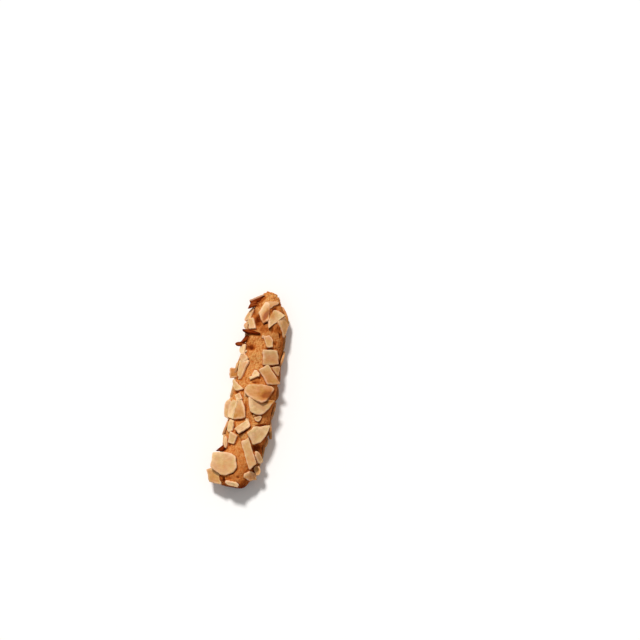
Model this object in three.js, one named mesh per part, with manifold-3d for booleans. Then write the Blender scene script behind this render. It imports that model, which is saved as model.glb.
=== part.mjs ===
// Almond finger biscuit: a baked finger of dough with flaked almonds pressed into its top and sides.
// It lies on the flat, bare underside that the baking tray gave it.
// Millimetres. +Z is up, +Y runs along the finger from its foot to its tip, and the origin is the middle
// of the underside.
import * as THREE from "three";
import { mergeVertices } from "three/addons/utils/BufferGeometryUtils.js";
import Module from "manifold-3d";

const wasm = await Module();
wasm.setup();

// Dough finger
const doughLength = 100;
const doughWidth = 20.8;
const doughDepth = 18.8; // of the round section, before the tray flattens it
const doughMiddle = 6; // height of the widest line above the tray
const doughOffset = 1.5; // the finger's middle line lies this far right of the flakes' own
const sectionPower = 0.86; // 1 is an ellipse, less is boxier
const tipRoundness = 2.4; // 2 is a round end, more is blunter
const footRoundness = 4.6;
const footVeer = 2.4; // the ends veer left by this much
const footVeerLength = 24;
const tipVeer = 1.4;
const tipVeerLength = 22;
const doughRings = 46;
const doughSides = 36;

// Lumps in the dough: height as a share of the section, waves around it, radians per millimetre along it.
// The first one is the thick and thin of hand rolling.
const lumps = [
  { height: 0.05, around: 0, along: 0.15, phase: 2.77 },
  { height: 0.028, around: 2, along: 0.19, phase: 0.6 },
  { height: 0.024, around: 3, along: -0.31, phase: 1.9 },
  { height: 0.018, around: 1, along: 0.47, phase: 4.1 },
  { height: 0.012, around: 4, along: 0.62, phase: 2.7 },
];

// Almond flakes
const flakeThickness = 1.2;
const flakeProud = 0.7; // the face of a flake on top stands this far above the dough
const almondTaper = 0.22; // an almond slice narrows towards its pointed end
const outlinePoints = 12;
const endReach = 0.99; // share of the half length out to which the dough's top is measured
const steepestSlope = 2.2; // rise over run that a flake on top may take from the dough
const restShare = 0.75; // share of a flake's outline, from its middle, that rests on the dough

// Flakes on top. Each outline is drawn from above, as an oval slice of almond with its length and width,
// turned from +X, less the straight edges where it broke: [direction the edge faces, distance from the
// middle]. A flake follows its share of the dough's slope, tips by its own slope along X and Y, may be lifted
// or sunk further, and reaches deeper than its thickness where it stands on edge.
const topFlakes = [
  // Tip end
  {
    at: [-6.1, 44.3], size: [11, 5.4], turn: 43, follow: 0.8, lift: -0.8,
    breaks: [[295, 1.3], [322, 1.9], [52, 3.7], [120, 1], [202, 4], [265, 2.7]],
  },
  {
    at: [-7.3, 41.2], size: [7.4, 5.6], turn: 25, follow: 0.6, lift: -0.2, deep: 2.4,
    breaks: [[163, 1.8], [282, 1.3], [299, 0.7], [35, 2.5], [103, 2.3]],
  },
  { at: [2.1, 42.8], size: [9, 6], turn: 10, breaks: [[315, 1], [29, 3.6], [103, 1.7], [215, 2]] },
  {
    at: [-0.9, 38], size: [15, 9.5], turn: 80, tip: [0.1, -0.1], lift: 0.2,
    breaks: [[212, 2.6], [309, 4.9], [8, 2.7], [78, 5.6], [157, 2.5]],
  },
  {
    at: [5.7, 35.6], size: [16, 11], turn: 55, tip: [0, 0.05],
    breaks: [[198, 4.2], [323, 0.9], [65, 4.5], [98, 5], [165, 3.5]],
  },
  {
    at: [9.8, 33.9], size: [12, 6], turn: 100, follow: 0.7, lift: -0.4,
    breaks: [[355, 2], [51, 3.6], [142, 3.2], [212, 2.1]],
  },
  { at: [-8.5, 36.9], size: [8.2, 2.2], turn: 66, follow: 0, tip: [0.8, 0], lift: -0.6, deep: 4.5 },
  {
    at: [-5.8, 31.6], size: [9, 6], turn: 100, follow: 0.8,
    breaks: [[280, 2.6], [23, 1.3], [106, 3.4], [193, 1.7]],
  },
  { at: [-5.2, 27.3], size: [8.4, 1.9], turn: 177, follow: 0.3, lift: 0.5, deep: 4 },
  { at: [-7.9, 23.4], size: [5, 2.4], turn: 58, breaks: [[305, 0.9], [150, 0.8]], follow: 0.5 },
  { at: [-9.8, 21], size: [5.6, 2.2], turn: 12, follow: 0.4, lift: -1 },
  {
    at: [3.7, 24], size: [9.4, 7.5], turn: 110, tip: [0, -0.05],
    breaks: [[285, 3.1], [6, 2.5], [48, 2.4], [111, 2.9], [208, 1.5]],
  },
  {
    at: [-8.2, 18.6], size: [6.8, 4], turn: 95, follow: 0.8,
    breaks: [[0, 1.3], [95, 2.3], [165, 1.3], [214, 1.5]],
  },
  {
    at: [6.3, 15.9], size: [13.6, 12], turn: 10,
    breaks: [[101, 4.2], [191, 3.6], [277, 3.4], [292, 3.4], [16, 3.9]],
  },
  {
    at: [-6.5, 14.2], size: [7, 6], turn: 10, tip: [0, 0.1],
    breaks: [[44, 1.5], [146, 1.9], [201, 1.6], [295, 2.1], [335, 2.1]],
  },
  // Middle
  {
    at: [-6.7, 8.5], size: [12, 6], turn: 262, tip: [0.1, 0],
    breaks: [[95, 4.3], [184, 1.5], [225, 3.5], [347, 1.9]],
  },
  {
    at: [-10.6, 5.7], size: [9, 8.4], turn: 100, follow: 0, tip: [0.5, 0], lift: -1.6,
    breaks: [[102, 3], [191, 2.4], [282, 2.1]],
  },
  {
    at: [7.9, 6.9], size: [15, 9], turn: 135, tip: [0.1, 0],
    breaks: [[284, 3.9], [43, 2.5], [132, 5.8], [220, 3.1]],
  },
  {
    at: [9.9, 10.9], size: [8, 6], turn: 100, follow: 0.8,
    breaks: [[267, 2.4], [357, 1.8], [14, 1.9], [122, 1.6], [224, 1]],
  },
  {
    at: [0.3, 6.1], size: [6.5, 5], turn: 60, tip: [0, -0.2],
    breaks: [[168, 1.1], [302, 1.3], [44, 2.6], [116, 2.4]],
  },
  {
    at: [6, -8.6], size: [17, 15], turn: 18, tip: [0, -0.05],
    breaks: [[193, 5.4], [204, 5.2], [248, 4.6], [275, 4.2], [313, 3.9], [335, 4], [95, 3.8]],
  },
  {
    at: [3.9, -2.1], size: [18, 13], turn: 5, tip: [0.02, -0.3], lift: -0.3,
    breaks: [
      [241, 4.4], [256, 4.1], [305, 5.5], [340, 5.8], [55, 7.1],
      [89, 4.5], [103, 4.1], [134, 5.8], [190, 6.7],
    ],
  },
  {
    at: [-7.5, -0.2], size: [7.5, 6], turn: 130, follow: 0.8,
    breaks: [[52, 1.2], [197, 1.6], [215, 1.5], [285, 2.6]],
  },
  { at: [-5.1, -5.8], size: [5, 4.2], turn: 60, breaks: [[34, 1.3], [127, 1.6], [208, 1.6], [286, 1.6]] },
  {
    at: [-3, -11.7], size: [13, 9.5], turn: 106,
    breaks: [[178, 3.2], [281, 4.9], [298, 4.6], [13, 2.2], [31, 2.2], [92, 5.7]],
  },
  {
    at: [-7.3, -12.4], size: [12, 7], turn: 272, follow: 0.8, lift: 0.3,
    breaks: [[166, 2.1], [185, 2], [205, 2.5], [255, 4.2], [358, 2.1], [89, 4.8], [136, 3.2]],
  },
  {
    at: [-9.7, -12.5], size: [10.5, 4.6], turn: 95, lift: -0.7,
    breaks: [[242, 3.9], [79, 4.4], [137, 3.7], [190, 1.7]],
  },
  { at: [6.2, -14.4], size: [3.8, 2.8], turn: 30, breaks: [[120, 0.9], [350, 1.3]] },
  // Foot end
  { at: [-6.2, -20.4], size: [7.4, 3.2], turn: 95, breaks: [[3, 1.1], [81, 2.8], [302, 2.7]] },
  {
    at: [-0.4, -20.3], size: [10.5, 6], turn: 45, tip: [0, -0.25],
    breaks: [[312, 1.9], [330, 2.5], [26, 3.8], [80, 3.9], [137, 1.7], [233, 3.6]],
  },
  {
    at: [7.3, -22.1], size: [16, 12], turn: 56, tip: [0, -0.2], lift: 0.2,
    breaks: [[299, 4.4], [331, 3.6], [350, 4], [110, 3.5], [143, 3.8], [216, 4.4]],
  },
  { at: [-4.1, -26.3], size: [8, 6], turn: 92, breaks: [[264, 2.7], [348, 1.7], [67, 2.2], [179, 2]] },
  {
    at: [-9.1, -32.4], size: [6.4, 3.4], turn: 40, follow: 0.4, lift: -0.4,
    breaks: [[135, 1], [272, 1.3]],
  },
  { at: [-7.3, -28.8], size: [6, 1.7], turn: 100, follow: 0.3, lift: 0.3, deep: 4 },
  {
    at: [4.5, -31.5], size: [20, 6.4], turn: 118, follow: 0.9,
    breaks: [[28, 2.2], [129, 6], [207, 2.1], [322, 7.3]],
  },
  { at: [9.7, -33.3], size: [6.2, 3], turn: 118, breaks: [[33, 1.2], [215, 1.3]], follow: 0.7, lift: 0.2 },
  {
    at: [-9.9, -46.5], size: [12, 9], turn: 150, follow: 0, tip: [0.45, 0.2], lift: -0.9,
    breaks: [[1, 3.8], [117, 4.6], [203, 3.4], [268, 3.3]],
  },
  {
    at: [-5.8, -39.6], size: [17, 15], turn: 0, follow: 0.45, lift: 0.2,
    breaks: [
      [17, 6.1], [55, 6.3], [90, 5.8], [101, 5.9], [183, 6.6], [244, 5.3], [270, 5.5], [306, 5.6], [332, 6.1],
    ],
  },
  {
    at: [10.3, -39.6], size: [5.4, 3.6], turn: 100, follow: 0.6, lift: -0.5,
    breaks: [[101, 2.1], [214, 1.3]],
  },
  {
    at: [7.5, -43.1], size: [8.4, 6.6], turn: 12, follow: 0.65,
    breaks: [[246, 2.2], [294, 2.1], [25, 2.5], [85, 2.4], [137, 2.2], [215, 2.8]],
  },
  { at: [-0.4, -48.3], size: [7, 2.6], turn: 172, breaks: [[90, 1], [268, 0.9]], follow: 0.8 },
];

// Flakes spread evenly along both flanks, in rows at an angle up from the widest line: left, then right
const flankRows = [
  { angles: [-2, -14], flakes: 9, long: [9, 13], wide: [6, 8] },
  { angles: [-28, -28], flakes: 8, long: [6, 9], wide: [4, 5] },
];
const flankLength = 84;
const flankPlace = [0.25, 0.75]; // where a flake lies in its own stretch of the row
const angleScatter = 6;

// A flake on a flank is pressed further in, and is turned, tipped and broken by seeded draws
const flankTurn = 35;
const flankTip = 0.1;
const flankProud = 0.4; // its face stands this far above the dough
const flankBreak = [0.2, 0.42]; // distance of the broken edge from the middle, as a share of the length

// Steps over which the dough's slopes are measured, and the distance within which points are one
const topStep = 0.5;
const skinStep = 0.02;
const samePoint = 1e-4;

const radians = THREE.MathUtils.degToRad;
const halfLength = doughLength / 2;

// Seeded draws, so that every build is the same
let seed = 2826;
function draw(low, high) {
  seed = (Math.imul(seed, 1664525) + 1013904223) >>> 0;
  return low + ((high - low) * seed) / 2 ** 32;
}

function signedPower(value, power) {
  return Math.sign(value) * Math.abs(value) ** power;
}

// Share of the full section that is left at a place along the finger
function endRounding(along) {
  const roundness = along > 0 ? tipRoundness : footRoundness;
  return (1 - Math.min(1, Math.abs(along) / halfLength) ** roundness) ** (1 / roundness);
}

// Sideways place of the finger's middle line
function spine(along) {
  const foot = THREE.MathUtils.smoothstep(-along, halfLength - footVeerLength, halfLength);
  const tip = THREE.MathUtils.smoothstep(along, halfLength - tipVeerLength, halfLength);
  return doughOffset - footVeer * foot - tipVeer * tip;
}

function halfWidth(along) {
  return (doughWidth / 2) * endRounding(along);
}

function lumpiness(along, around) {
  return lumps.reduce((sum, lump) => {
    const wave = Math.sin(lump.around * around + lump.along * along + lump.phase);
    return sum + lump.height * wave;
  }, 1);
}

// A point of the dough's skin, by its place along the finger and its angle around it
function doughPoint(along, around) {
  const swell = lumpiness(along, around);
  const across = halfWidth(along) * signedPower(Math.cos(around), sectionPower) * swell;
  const up = (doughDepth / 2) * endRounding(along) * signedPower(Math.sin(around), sectionPower) * swell;
  return new THREE.Vector3(spine(along) + across, along, doughMiddle + up);
}

// Height of the dough's top, which beyond its outline is that of the widest line
function topHeight(x, y) {
  const along = THREE.MathUtils.clamp(y, -endReach * halfLength, endReach * halfLength);
  const across = THREE.MathUtils.clamp((x - spine(along)) / halfWidth(along), -1, 1);
  return doughPoint(along, Math.acos(signedPower(across, 1 / sectionPower))).z;
}

// A closed solid for joining and cutting, made from a geometry
function solid(geometry) {
  geometry.deleteAttribute("normal");
  geometry.deleteAttribute("uv");
  const merged = mergeVertices(geometry, samePoint);
  const vertProperties = new Float32Array(merged.getAttribute("position").array);
  const triVerts = new Uint32Array(merged.getIndex().array);
  return new wasm.Manifold(new wasm.Mesh({ numProp: 3, vertProperties, triVerts }));
}

// The finger: a ball drawn out along Y into the dough's skin
function doughSolid() {
  const geometry = new THREE.SphereGeometry(1, doughSides, doughRings);
  const position = geometry.getAttribute("position");
  const point = new THREE.Vector3();
  for (let i = 0; i < position.count; i++) {
    point.fromBufferAttribute(position, i);
    const moved = doughPoint(point.y * halfLength, Math.atan2(point.z, point.x));
    position.setXYZ(i, moved.x, moved.y, moved.z);
  }
  return solid(geometry);
}

// What is left of an outline behind a straight broken edge
function breakOff(outline, facing, distance) {
  const normal = new THREE.Vector2(Math.cos(radians(facing)), Math.sin(radians(facing)));
  const kept = [];
  outline.forEach((point, i) => {
    const next = outline[(i + 1) % outline.length];
    const here = normal.dot(point) - distance;
    const there = normal.dot(next) - distance;
    if (here <= 0) kept.push(point);
    if (here < 0 !== there < 0) kept.push(point.clone().lerp(next, here / (here - there)));
  });
  return kept;
}

// Outline of a slice of almond, turned and then broken
function sliceOutline([long, wide], turn, breaks) {
  const middle = new THREE.Vector2();
  let outline = [];
  for (let i = 0; i < outlinePoints; i++) {
    const angle = (2 * Math.PI * i) / outlinePoints;
    const taper = 1 - almondTaper * Math.cos(angle);
    const point = new THREE.Vector2((long / 2) * Math.cos(angle), (wide / 2) * Math.sin(angle) * taper);
    outline.push(point.rotateAround(middle, radians(turn)));
  }
  for (const [facing, distance] of breaks) {
    outline = breakOff(outline, facing, distance);
  }
  return outline;
}

// A flat flake, with its upper face on the plane of the first two axes
function flakeSolid(outline, deep, xAxis, yAxis, normal, face) {
  const geometry = new THREE.ExtrudeGeometry(new THREE.Shape(outline), { depth: deep, bevelEnabled: false });
  const place = new THREE.Matrix4().makeBasis(xAxis, yAxis, normal);
  place.setPosition(face.clone().addScaledVector(normal, -deep));
  geometry.applyMatrix4(place);
  return solid(geometry);
}

// Height of a sloping plane at a flake's middle where it rests on the highest dough under the flake
function restingHeight(outline, [x, y], slopes) {
  const heights = outline.map((point) => {
    const [dx, dy] = [restShare * point.x, restShare * point.y];
    return topHeight(x + dx, y + dy) - slopes[0] * dx - slopes[1] * dy;
  });
  return Math.max(topHeight(x, y), ...heights);
}

// A flake on top: its outline from above is dropped onto its own sloping plane
function topFlakeSolid(flake) {
  const { at, size, turn, breaks = [], follow = 1, tip = [0, 0], lift = 0, deep = flakeThickness } = flake;
  const [x, y] = at;
  const slopes = [
    (topHeight(x + topStep, y) - topHeight(x - topStep, y)) / (2 * topStep),
    (topHeight(x, y + topStep) - topHeight(x, y - topStep)) / (2 * topStep),
  ].map((slope, i) => THREE.MathUtils.clamp(slope, -steepestSlope, steepestSlope) * follow + tip[i]);
  const outline = sliceOutline(size, turn, breaks);
  const xAxis = new THREE.Vector3(1, 0, slopes[0]);
  const yAxis = new THREE.Vector3(0, 1, slopes[1]);
  const normal = new THREE.Vector3().crossVectors(xAxis, yAxis).normalize();
  const face = new THREE.Vector3(x, y, restingHeight(outline, at, slopes));
  face.addScaledVector(normal, flakeProud + lift);
  return flakeSolid(outline, deep, xAxis, yAxis, normal, face);
}

// Direction over the dough's skin from one place to another, each given along and around the finger
function skinWay(from, to) {
  return doughPoint(...to).sub(doughPoint(...from)).normalize();
}

// A flake on the dough's skin at any place
function skinFlakeSolid(along, around, long, wide) {
  const point = doughPoint(along, around);
  const alongWay = skinWay([along - skinStep, around], [along + skinStep, around]);
  const aroundWay = skinWay([along, around - skinStep], [along, around + skinStep]);
  const outward = new THREE.Vector3().crossVectors(aroundWay, alongWay).normalize();
  const sideWay = new THREE.Vector3().crossVectors(outward, alongWay);
  const length = draw(...long);
  const brokenEdge = [draw(0, 360), draw(...flankBreak) * length];
  const outline = sliceOutline([length, draw(...wide)], draw(-flankTurn, flankTurn), [brokenEdge]);
  const xAxis = alongWay.addScaledVector(outward, draw(-flankTip, flankTip)).normalize();
  const yAxis = sideWay.addScaledVector(outward, draw(-flankTip, flankTip)).normalize();
  const normal = new THREE.Vector3().crossVectors(xAxis, yAxis).normalize();
  const face = point.addScaledVector(normal, flankProud);
  return flakeSolid(outline, flakeThickness, xAxis, yAxis, normal, face);
}

function flankFlakes() {
  const flakes = [];
  for (const side of [0, 1]) {
    for (const row of flankRows) {
      const spacing = flankLength / row.flakes;
      for (let i = 0; i < row.flakes; i++) {
        const along = -flankLength / 2 + (i + draw(...flankPlace)) * spacing;
        const up = radians(row.angles[side] + draw(-angleScatter, angleScatter));
        const around = side === 1 ? up : Math.PI - up;
        flakes.push(skinFlakeSolid(along, around, row.long, row.wide));
      }
    }
  }
  return flakes;
}

// Dough and flakes baked into one, cut flat by the tray
function cookieGeometry() {
  const flakes = [...topFlakes.map(topFlakeSolid), ...flankFlakes()];
  const tray = new THREE.BoxGeometry(2 * doughLength, 2 * doughLength, doughLength);
  tray.translate(0, 0, -doughLength / 2);
  const baked = flakes.reduce((whole, flake) => whole.add(flake), doughSolid()).subtract(solid(tray));
  // The largest body is the outer skin: pockets closed in under flakes are filled by leaving theirs out
  const [outer] = baked.decompose().sort((a, b) => b.volume() - a.volume());
  const mesh = outer.getMesh();
  const geometry = new THREE.BufferGeometry();
  geometry.setAttribute("position", new THREE.BufferAttribute(mesh.vertProperties, 3));
  geometry.setIndex(new THREE.BufferAttribute(mesh.triVerts, 1));
  geometry.computeVertexNormals();
  return geometry;
}

const bakedBiscuit = new THREE.MeshStandardMaterial({ color: "#cf9155", roughness: 0.75, metalness: 0 });

const cookie = new THREE.Mesh(cookieGeometry(), bakedBiscuit);
cookie.name = "almond_cookie";

const almondFinger = new THREE.Group();
almondFinger.add(cookie);

export default almondFinger;
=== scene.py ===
import bpy
import math
import numpy as np
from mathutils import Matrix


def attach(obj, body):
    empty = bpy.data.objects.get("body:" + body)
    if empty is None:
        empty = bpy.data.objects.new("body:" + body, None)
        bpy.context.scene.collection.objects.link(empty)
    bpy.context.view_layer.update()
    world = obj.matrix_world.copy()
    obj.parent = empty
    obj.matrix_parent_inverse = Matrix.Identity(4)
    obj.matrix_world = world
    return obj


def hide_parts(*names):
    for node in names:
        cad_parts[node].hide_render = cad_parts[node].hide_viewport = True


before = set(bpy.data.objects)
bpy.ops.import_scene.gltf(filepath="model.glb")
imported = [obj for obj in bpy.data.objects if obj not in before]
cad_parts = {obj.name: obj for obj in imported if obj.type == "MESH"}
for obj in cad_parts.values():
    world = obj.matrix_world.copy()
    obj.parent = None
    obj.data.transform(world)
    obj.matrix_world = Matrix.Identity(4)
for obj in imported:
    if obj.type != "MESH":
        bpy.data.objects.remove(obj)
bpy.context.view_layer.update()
print("frame loaded:", sorted(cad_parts))

mm = 0.001  # sizes below are in millimetres, Blender's are in metres
rng = np.random.default_rng(2826)  # for unevenness that the solid leaves out
anyPhase = (0, 7)  # radians, a little over a whole turn


def linearColour(code):  # sRGB hex to linear
    parts = [int(code[i:i + 2], 16) / 255 for i in (1, 3, 5)]
    return [c / 12.92 if c <= 0.04045 else ((c + 0.055) / 1.055) ** 2.4 for c in parts] + [1]


# Adds a shader node: a setting is an input or a property of it, a link ends at an input
def addNode(tree, kind, settings={}, links={}):
    node = tree.nodes.new("ShaderNode" + kind)
    for name, value in settings.items():
        if name == "stops":  # places and colours of a ramp
            ramp = node.color_ramp.elements
            ramp.remove(ramp[1])
            for place, code in value[1:]:
                ramp.new(place).color = linearColour(code)
            ramp[0].position = value[0][0]
            ramp[0].color = linearColour(value[0][1])
        elif isinstance(name, int) or name in node.inputs:
            node.inputs[name].default_value = value
        else:
            setattr(node, name, value)
    for name, source in links.items():
        tree.links.new(source, node.inputs[name])
    return node


def newMaterial(name, settings):
    material = bpy.data.materials.new(name)
    material.use_nodes = True
    shader = material.node_tree.nodes["Principled BSDF"]
    for socket, value in settings.items():
        shader.inputs[socket].default_value = value
    return material, material.node_tree, shader


def pitch(size):  # a pattern's scale, from the size of its marks in millimetres
    return 1 / (size * mm)


def deselectAll():
    if bpy.context.object and bpy.context.object.mode != "OBJECT":
        bpy.ops.object.mode_set(mode="OBJECT")
    bpy.ops.object.select_all(action="DESELECT")


def pick(piece):
    deselectAll()
    piece.select_set(True)
    bpy.context.view_layer.objects.active = piece


def readPoints(piece):
    points = np.empty(len(piece.data.vertices) * 3)
    piece.data.vertices.foreach_get("co", points)
    return points.reshape(-1, 3)


def writePoints(piece, points):
    piece.data.vertices.foreach_set("co", points.ravel())
    piece.data.update()


def paintPoints(piece, name, values):  # a value or a vector at each point, for the material
    kind, field = ("FLOAT_VECTOR", "vector") if np.ndim(values) == 2 else ("FLOAT", "value")
    layer = piece.data.attributes.new(name, kind, "POINT")
    layer.data.foreach_set(field, np.ravel(values).astype(np.float32))


def applyModifier(piece, kind, settings):
    pick(piece)
    modifier = piece.modifiers.new(kind.lower(), kind)
    for name, value in settings.items():
        setattr(modifier, name, value)
    bpy.ops.object.modifier_apply(modifier=modifier.name)


def joinedMesh(name, points, faces):  # many small things as one piece, from places in millimetres
    mesh = bpy.data.meshes.new(name)
    mesh.from_pydata(np.vstack(points) * mm, [], faces)
    piece = bpy.data.objects.new(name, mesh)
    bpy.context.collection.objects.link(piece)
    return piece


def cookiePiece(piece, material):
    piece.data.materials.clear()
    piece.data.materials.append(material)
    pick(piece)
    bpy.ops.object.shade_smooth()
    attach(piece, "root")
    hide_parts("almond_cookie")
    print(piece.name + ":", sum(len(face.vertices) - 2 for face in piece.data.polygons), "triangles")


def cutAtTray(piece):  # what would reach below the tray is cut off flat
    pick(piece)
    bpy.ops.object.mode_set(mode="EDIT")
    bpy.ops.mesh.select_all(action="SELECT")
    bpy.ops.mesh.bisect(plane_co=(0, 0, 0), plane_no=(0, 0, 1), use_fill=True, clear_inner=True,
                        threshold=1e-6)
    bpy.ops.object.mode_set(mode="OBJECT")


# Camera: looks down on the lying cookie as the photo looks at its shown side
view = {
    "azimuth": 10.7, "elevation": 82,  # degrees
    "lens": 85, "sensor": 36,
    "frameWidth": 320, "framePixels": 640,  # millimetres and pixels across the frame
    "place": (251.9, 388.4), "height": 9,  # pixel of the cookie's middle, and its height above the floor
}
turn, lift = math.radians(view["azimuth"]), math.radians(view["elevation"])
rightWay = np.array([math.cos(turn), math.sin(turn), 0])
backWay = np.array([math.sin(turn) * math.cos(lift), -math.cos(turn) * math.cos(lift), math.sin(lift)])
upWay = np.cross(backWay, rightWay)
pixel = view["frameWidth"] / view["framePixels"]
half = view["framePixels"] / 2
aim = np.array([0, 0, view["height"]]) + rightWay * (half - view["place"][0]) * pixel
aim = aim + upWay * (view["place"][1] - half) * pixel
away = view["frameWidth"] * view["lens"] / view["sensor"]
bpy.ops.object.camera_add(location=(aim + backWay * away) * mm, rotation=(math.pi / 2 - lift, 0, turn))
camera = bpy.context.object
camera.data.lens = view["lens"]
camera.data.sensor_width = view["sensor"]
bpy.context.scene.camera = camera
print("camera set", np.round(camera.location, 3))


# Light and floor
studio = {
    "keyFrom": (-0.42, 0.72, 1.1), "keyPower": 3, "keySpread": 9,  # from the upper left
    "fill": 0.38,  # white all round
    "floor": "#f6f4f1", "floorWide": 4000,
}
keyWay = np.array(studio["keyFrom"]) / np.linalg.norm(studio["keyFrom"])
keyTurn = (math.acos(keyWay[2]), 0, math.atan2(keyWay[0], -keyWay[1]))
bpy.ops.object.light_add(type="SUN", location=keyWay, rotation=keyTurn)
key = bpy.context.object
key.data.energy = studio["keyPower"]
key.data.angle = math.radians(studio["keySpread"])
world = bpy.data.worlds.new("white_studio")
bpy.context.scene.world = world
world.use_nodes = True
world.node_tree.nodes["Background"].inputs["Color"].default_value = (1, 1, 1, 1)
world.node_tree.nodes["Background"].inputs["Strength"].default_value = studio["fill"]
bpy.context.scene.view_settings.view_transform = "Standard"
deselectAll()
bpy.ops.mesh.primitive_plane_add(size=studio["floorWide"] * mm)
floor = bpy.context.object
floor.name = "floor"
floorCard = newMaterial("matt_white_card", {
    "Base Color": linearColour(studio["floor"]), "Roughness": 0.9, "Specular IOR Level": 0.2})[0]
floor.data.materials.append(floorCard)
print("studio set")


# The finger's form, with the sizes of the solid that it stands for
finger = {
    "length": 100, "width": 20.8, "depth": 18.8, "middle": 6, "offset": 1.5, "sectionPower": 0.86,
    "tipRoundness": 2.4, "footRoundness": 4.6,
    "footVeer": 2.4, "footVeerLength": 24, "tipVeer": 1.4, "tipVeerLength": 22,
    # Lumps: height as a share of the section, waves around it, radians per millimetre along it, phase
    "lumps": [(0.05, 0, 0.15, 2.77), (0.028, 2, 0.19, 0.6), (0.024, 3, -0.31, 1.9),
              (0.018, 1, 0.47, 4.1), (0.012, 4, 0.62, 2.7)],
}
halfLength = finger["length"] / 2


def signedPower(value, power):
    return np.sign(value) * np.abs(value) ** power


def smoothStep(value, low, high):
    share = np.clip((value - low) / (high - low), 0, 1)
    return share * share * (3 - 2 * share)


def endRounding(along):  # share of the full section that is left
    roundness = np.where(along > 0, finger["tipRoundness"], finger["footRoundness"])
    return (1 - np.minimum(1, np.abs(along) / halfLength) ** roundness) ** (1 / roundness)


def spine(along):  # sideways place of the finger's middle line
    foot = smoothStep(-along, halfLength - finger["footVeerLength"], halfLength)
    tip = smoothStep(along, halfLength - finger["tipVeerLength"], halfLength)
    return finger["offset"] - finger["footVeer"] * foot - finger["tipVeer"] * tip


def doughPoint(along, around):  # a point of the skin, in millimetres
    swell = 1
    for height, waves, run, phase in finger["lumps"]:
        swell = swell + height * np.sin(waves * around + run * along + phase)
    section = endRounding(along) * swell
    across = finger["width"] / 2 * section * signedPower(np.cos(around), finger["sectionPower"])
    up = finger["depth"] / 2 * section * signedPower(np.sin(around), finger["sectionPower"])
    return np.stack([spine(along) + across, along + 0 * around, finger["middle"] + up], -1)


# Almond flakes: where each lies
almond = {
    "thickness": 1.2, "proud": 0.7, "taper": 0.22,  # a flake's face stands proud of the dough
    "reach": 0.99, "steepest": 2.2, "restShare": 0.75,  # how the dough below a flake is read
    "ovalPoints": 48, "rimPoints": 44, "cornerTurn": 18,
    "soften": 0.08, "waves": (3, 13),  # of an outline: how far its corners round off, and its waves
    "chips": 0.1, "wobble": 0.05, "breakReach": 0.25,  # unevenness of a broken and of a grown edge
    "fullWave": 2,  # less of it closer to the middle than this
    "curl": 0.4, "twist": 0.25, "fullCurl": 5,  # narrower flakes curl less
    "toast": 0.2, "fade": 0.15, "heart": 0.16,  # a flake's heart is toasted more than its edge
    "paleEdge": 0.3,  # half width of the change from skin to pale nut
    # Rings of a flake: share of the way out, inset, most inset as a share of the way, depth below the face,
    # how much of the rim's colour. Those of the lower face mirror the outer ones.
    "rings": [(0.28, 0, 0, 0, 0), (0.5, 0, 0, 0, 0), (0.7, 0, 0, 0, 0), (1, 1.1, 0.3, 0, 0.05),
              (1, 0.55, 0.17, 0, 0.7), (1, 0.1, 0.05, 0.06, 1), (1, 0, 0, 0.28, 1)],
    "lowerRings": 4,
    "cream": "#e7bc8c", "tan": "#d1a16e", "honey": "#cc905a", "caramel": "#b8712a", "scorchedAndShade": "#984d08",
    # rim: the colour of the paler edges, which is painted highlight
    "rim": "#efc29d",
    "skin": "#6c2203", "darkSkin": "#3c0a00", "paleSkin": "#8a3c10", "rubbedSkin": "#a0603a",
    "skinRim": "#c89470",
}
grainStep = 20  # millimetres between the grain of one flake or bit and the next
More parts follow.
